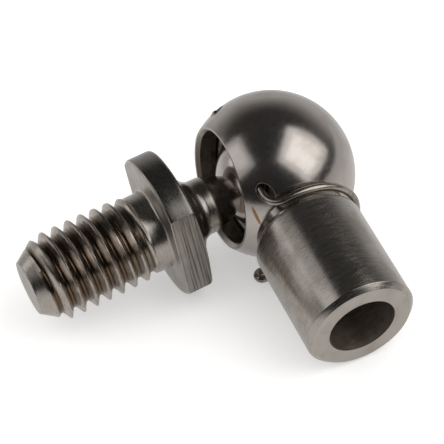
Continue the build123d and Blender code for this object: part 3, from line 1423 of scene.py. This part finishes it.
# Spring ring in the greased groove: dull drawn wire.
RING_WIRE = SteelFinish(
    name="stainless spring wire, greased",
    marks=Marks.TURNED,
    colour="#91887D",
    film="#3C3020",
    film_share=0.7,
    patch=0.8,
    roughness=0.32,
    roughness_spread=0.08,
    spacing=0.3,
    depth=0.002,
)
# Drawn spring wire: smooth and bright with a slightly brown skin from drawing.
CLIP_WIRE = SteelFinish(
    name="stainless spring wire, drawn",
    marks=Marks.TUMBLED,
    colour="#A8A097",
    film="#574A3B",
    film_share=0.6,
    patch=1.1,
    roughness=0.24,
    roughness_spread=0.06,
    spacing=0.2,
    depth=0.0015,
)


# --- The snap ring ---
@dataclass
class SnapRing:
    """A split ring of round wire that keeps the ball in, in the mouth's groove."""

    wire_radius: float = 0.45
    ring_radius: float = 4.844
    height: float = 2.6  # from the ball's centre towards the mouth
    split: float = 40.0  # degrees left open
    turn: float = 120.0  # degrees from the shank's side to its first end
    steps: int = 96

    def build(self) -> bpy.types.Object:
        """Bend the ring round the mouth's axis and close its ends.

        Returns:
            The finished piece.
        """
        start = Matrix.Rotation(math.radians(self.turn), 3, X_AXIS) @ Vector((0, self.ring_radius, 0))
        centre = X_AXIS * self.height
        wire = BentWire(centre + start, X_AXIS.cross(start), self.wire_radius)
        wire.bend(centre, X_AXIS, 360 - self.split, self.steps)
        materials = [RING_WIRE.material(MOUTH_AXES)]
        return make_object("snap_ring_bent", wire.close(), MOUTH_AXES, materials)


# --- The safety clip ---
@dataclass
class SafetyClip:
    """A spring wire clip: a leg across the head, a wrap round the neck and a folded hold."""

    wire_radius: float = 0.35
    plane: float = 6.8635  # distance of the wrap from the ball's centre
    wrap_radius: float = 5.08
    leg: tuple[float, float] = (3.55, 4.1484)  # towards the mouth, and sideways
    leg_end: float = 5.042  # how far the leg reaches past the ball's centre
    bend_radius: float = 1.4
    settle_angle: float = 35.0  # degrees in which the wire settles onto the neck
    settle_steps: int = 40
    release: float = 264.0  # degrees round the neck where the wire leaves it
    tail: float = 3.85  # straight length up to the hold's fold
    hold_radius: float = 0.43
    hold_return: float = 1.0  # straight length after the fold

    def build(self) -> bpy.types.Object:
        """Bend the clip from its leg to its hold.

        Returns:
            The finished piece.
        """
        corner = Vector((self.plane, -self.leg[0], self.leg[1]))
        heading, settle_centre, join_angle = self._settle(corner)
        wire = BentWire(Vector((-self.leg_end, corner.y, corner.z)), X_AXIS, self.wire_radius)
        wire.run(self.plane - self.bend_radius + self.leg_end, 12)
        bend_axis = X_AXIS.cross(heading)
        wire.bend(wire.end + heading * self.bend_radius, bend_axis, 90, 16)
        turn = heading.angle(self._along(join_angle))
        wire.bend(settle_centre, -X_AXIS, math.degrees(turn), 12)
        wire.bend(X_AXIS * self.plane, -X_AXIS, self.release - join_angle, 96)
        wire.run(self.tail, 6)
        wire.bend(wire.end - X_AXIS * self.hold_radius, wire.heading.cross(-X_AXIS), 180, 20)
        wire.run(self.hold_return, 3)
        materials = [CLIP_WIRE.material(SOCKET_AXES)]
        return make_object("safety_clip_bent", wire.close(), SOCKET_AXES, materials)

    def _around(self, angle: float) -> Vector:
        """Give the wire's centre where it wraps the neck.

        Args:
            angle: How far round the neck, in degrees, 0 on the mouth's side.

        Returns:
            The centre.
        """
        turn = math.radians(angle)
        spoke = Vector((0, -math.cos(turn), math.sin(turn)))
        return X_AXIS * self.plane + spoke * self.wrap_radius

    @staticmethod
    def _along(angle: float) -> Vector:
        """Give the wire's direction where it wraps the neck."""
        turn = math.radians(angle)
        return Vector((0, math.sin(turn), math.cos(turn)))

    def _settle(self, corner: Vector) -> tuple[Vector, Vector, float]:
        """Find the arc by which the wire settles from its bend onto the neck.

        Args:
            corner: Where the leg's line meets the wrap's plane.

        Returns:
            The arc's first direction, its centre, and the angle at which it joins the wrap.
        """
        axis = X_AXIS * self.plane
        heading = self._along(math.degrees(math.atan2(corner.z, -corner.y)))
        for _ in range(self.settle_steps):
            start = corner + heading * self.bend_radius
            reach = start - axis
            join_angle = math.degrees(math.atan2(reach.z, -reach.y)) + self.settle_angle
            join = self._around(join_angle)
            outward = (join - axis).normalized()
            bow = (start - join).length_squared / (2 * (self.wrap_radius - reach.dot(outward)))
            centre = join - outward * bow
            heading = (centre - start).cross(X_AXIS).normalized()
            if heading.dot(self._along(join_angle)) < 0:
                heading = -heading
        return heading, centre, join_angle


# --- The studio ---
def towards(azimuth: float, elevation: float) -> Vector:
    """Give a direction from its angles in degrees, 0 towards +X and 90 towards +Y."""
    around, up = math.radians(azimuth), math.radians(elevation)
    return Vector((math.cos(around) * math.cos(up), math.sin(around) * math.cos(up), math.sin(up)))


@dataclass(frozen=True)
class Softbox:
    """A square of soft light.

    Attributes:
        name: What it does.
        azimuth: Where it stands, in degrees, 0 towards +X and 90 towards +Y.
        elevation: How high it stands, in degrees.
        distance: From the joint, in metres.
        size: Its sides, in metres.
        level: How bright its middle is, where 1 is white.
        core: The bright middle's sides, as a share of the whole.
        core_share: How much of the middle's brightness the core adds.
    """

    name: str
    azimuth: float
    elevation: float
    distance: float
    size: tuple[float, float]
    level: float
    core: float = 0.62
    core_share: float = 0.4

    def layers(self) -> list[tuple[float, float, float, float]]:
        """List its two layers of cloth.

        Returns:
            For each, its distance and sides in metres and its power in watts.
        """
        layers = []
        # The core hangs a little nearer, since lamps in one plane hide one another.
        for share, level, near in ((1.0, 1 - self.core_share, 1.0), (self.core, self.core_share, 0.96)):
            width, height = (side * share for side in self.size)
            power = math.pi * width * height * level * self.level
            layers.append((self.distance * near, width, height, power))
        return layers


@dataclass
class Studio:
    """A pale floor, three softboxes, a white surround and the camera."""

    floor_size: float = 6.0
    aim: tuple[float, float, float] = (-4.86, 2.94, 4.72)  # mm
    distance: float = 200.0  # mm
    azimuth: float = 70.46  # 0 looks along +Y and 90 along -X
    elevation: float = 43.3
    roll: float = 5.73
    lens: float = 181.97
    sensor: float = 36.0
    lift: float = 0.36  # the floor's own glow, to rays that see the background
    # A painted pool of light: the share of the floor's colour that reflections see, falling with distance
    # from the joint.
    painted_light_pool: tuple[Station, Station] = ((0.012, 0.52), (0.075, 0.25))  # metres off, and share seen
    sweep: tuple[Station, Station] = ((-0.1, 0.6), (0.7, 0.035))  # how far up, and its level
    dark_side: float = 0.0  # where the sweep is open to the dark room, 0 towards +X
    dark: tuple[float, float, float] = (-0.6, 0.2, 0.02)  # from, to, and its level
    surround: float = 0.7  # its level for a matt surface
    lights: tuple[Softbox, ...] = (
        Softbox("key", 56.0, 43.0, 0.45, (0.5, 0.49), 1.7),
        Softbox("fill", -98.0, 46.0, 0.25, (0.23, 0.15), 0.88),
        Softbox("strip", -130.0, 20.0, 0.3, (0.12, 0.13), 0.7),
    )

    def build(self) -> None:
        """Set the floor, the lights, the surround and the camera."""
        self._floor()
        for light in self.lights:
            self._light(light)
        self._surround()
        self._camera()

    def _floor(self) -> None:
        """Lay a pale matt floor that stays white to the camera but keeps the joint's shadow, and whose
        colour holds a painted pool of light that only reflections see.
        """
        mesh = bmesh.new()
        bmesh.ops.create_grid(mesh, x_segments=1, y_segments=1, size=self.floor_size / 2 / MM)
        material = bpy.data.materials.new("studio floor, matt white, painted light pool")
        tree = fresh_tree(material)
        place = add_node(tree, "ShaderNodeTexCoord").outputs["Object"]
        distance = add_node(tree, "ShaderNodeVectorMath", {0: place}, operation="LENGTH").outputs["Value"]
        # Painted pool of light: metal sees the floor's colour paler near the joint than far from it,
        # where the sweep takes over.
        (near, near_share), (far, far_share) = self.painted_light_pool
        painted_light_pool = add_node(
            tree,
            "ShaderNodeMapRange",
            {
                "Value": distance,
                "From Min": near,
                "From Max": far,
                "To Min": near_share,
                "To Max": far_share,
            },
            interpolation_type="SMOOTHSTEP",
        ).outputs[0]
        glossy = add_node(tree, "ShaderNodeLightPath").outputs["Is Glossy Ray"]
        share = add_node(tree, "ShaderNodeMix", {"Factor": glossy, "A": 1.0, "B": painted_light_pool}).outputs[0]
        pale = add_node(
            tree,
            "ShaderNodeMix",
            {"Factor": share, "A": linear("#000000"), "B": linear("#EDECEA")},
            data_type="RGBA",
        ).outputs["Result"]
        matt = add_node(tree, "ShaderNodeBsdfDiffuse", {"Color": pale}).outputs[0]
        lift = add_node(
            tree, "ShaderNodeMath", {0: self._seen(tree), 1: self.lift}, operation="MULTIPLY"
        ).outputs[0]
        white = linear("#FFFFFF")
        glow = add_node(tree, "ShaderNodeEmission", {"Color": white, "Strength": lift}).outputs[0]
        both = add_node(tree, "ShaderNodeAddShader", {0: matt, 1: glow}).outputs[0]
        add_node(tree, "ShaderNodeOutputMaterial", {"Surface": both})
        floor = make_object("floor", mesh, Matrix.Scale(MM, 4), [material])

    @staticmethod
    def _seen(tree: Tree) -> Socket:
        """Tell which rays see the background.

        Args:
            tree: The node tree.

        Returns:
            1 for camera, glossy and transmission rays, else 0.
        """
        path = add_node(tree, "ShaderNodeLightPath").outputs
        seen = path["Is Camera Ray"]
        for ray in ("Is Glossy Ray", "Is Transmission Ray"):
            inputs = {0: seen, 1: path[ray]}
            seen = add_node(tree, "ShaderNodeMath", inputs, operation="MAXIMUM").outputs[0]
        return seen

    @staticmethod
    def _light(light: Softbox) -> None:
        """Hang one softbox, facing the joint: a wide layer and a brighter core.

        Args:
            light: The softbox.
        """
        away = towards(light.azimuth, light.elevation)
        for distance, width, height, power in light.layers():
            data = bpy.data.lights.new(light.name, "AREA")
            data.shape = "RECTANGLE"
            data.size, data.size_y = width, height
            data.energy = power
            lamp = bpy.data.objects.new(light.name, data)
            lamp.location = away * distance
            lamp.rotation_mode = "QUATERNION"
            lamp.rotation_quaternion = (-away).to_track_quat("-Z", "Y")
            lamp.visible_camera = False
            bpy.context.scene.collection.objects.link(lamp)

    def _surround(self) -> None:
        """Hang a white sweep round the joint with a dark studio above it."""
        world = bpy.data.worlds.new("studio")
        bpy.context.scene.world = world
        tree = fresh_tree(world)
        direction = add_node(tree, "ShaderNodeTexCoord").outputs["Generated"]
        height = add_node(tree, "ShaderNodeSeparateXYZ", {"Vector": direction}).outputs["Z"]
        (low, low_level), (high, high_level) = self.sweep
        sweep = add_node(
            tree,
            "ShaderNodeMapRange",
            {
                "Value": height,
                "From Min": low,
                "From Max": high,
                "To Min": low_level,
                "To Max": high_level,
            },
            interpolation_type="SMOOTHSTEP",
        ).outputs[0]
        front = towards(self.dark_side, 0)
        ahead = add_node(
            tree, "ShaderNodeVectorMath", {0: direction, 1: front}, operation="DOT_PRODUCT"
        ).outputs["Value"]
        start, end, dark = self.dark
        sweep = add_node(
            tree,
            "ShaderNodeMapRange",
            {"Value": ahead, "From Min": start, "From Max": end, "To Min": sweep, "To Max": dark},
            interpolation_type="SMOOTHSTEP",
        ).outputs[0]
        path = add_node(tree, "ShaderNodeLightPath").outputs
        level = add_node(
            tree, "ShaderNodeMix", {"Factor": path["Is Glossy Ray"], "A": self.surround, "B": sweep}
        ).outputs["Result"]
        level = add_node(
            tree, "ShaderNodeMix", {"Factor": path["Is Camera Ray"], "A": level, "B": 1.0}
        ).outputs["Result"]
        glow = add_node(tree, "ShaderNodeBackground", {"Color": linear("#FFFFFF"), "Strength": level})
        add_node(tree, "ShaderNodeOutputWorld", {"Surface": glow.outputs[0]})

    def _camera(self) -> None:
        """Place the camera where the joint is looked at from."""
        data = bpy.data.cameras.new("camera")
        data.lens, data.sensor_width = self.lens, self.sensor
        data.clip_start, data.clip_end = 0.01, 20.0
        camera = bpy.data.objects.new("camera", data)
        back = towards(self.azimuth - 90, self.elevation)
        roll = Euler((0, 0, -math.radians(self.roll))).to_quaternion()
        camera.rotation_mode = "QUATERNION"
        camera.rotation_quaternion = (-back).to_track_quat("-Z", "Y") @ roll
        camera.location = (Vector(self.aim) + back * self.distance) * MM
        bpy.context.scene.collection.objects.link(camera)
        bpy.context.scene.camera = camera
        bpy.context.scene.view_settings.view_transform = "Standard"


def main() -> None:
    """Build the joint's pieces in order, then the studio, and note the sizes."""
    logging.basicConfig(level=logging.INFO, format="%(name)s: %(message)s")
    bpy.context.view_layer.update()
    set_piece(BallStud().build(), "stud", "ball_stud")
    set_piece(BallSocket().build(), "socket", "ball_socket")
    set_piece(SnapRing().build(), "ring", "snap_ring")
    set_piece(SafetyClip().build(), "socket", "safety_clip")
    Studio().build()


if __name__ == "__main__":
    main()
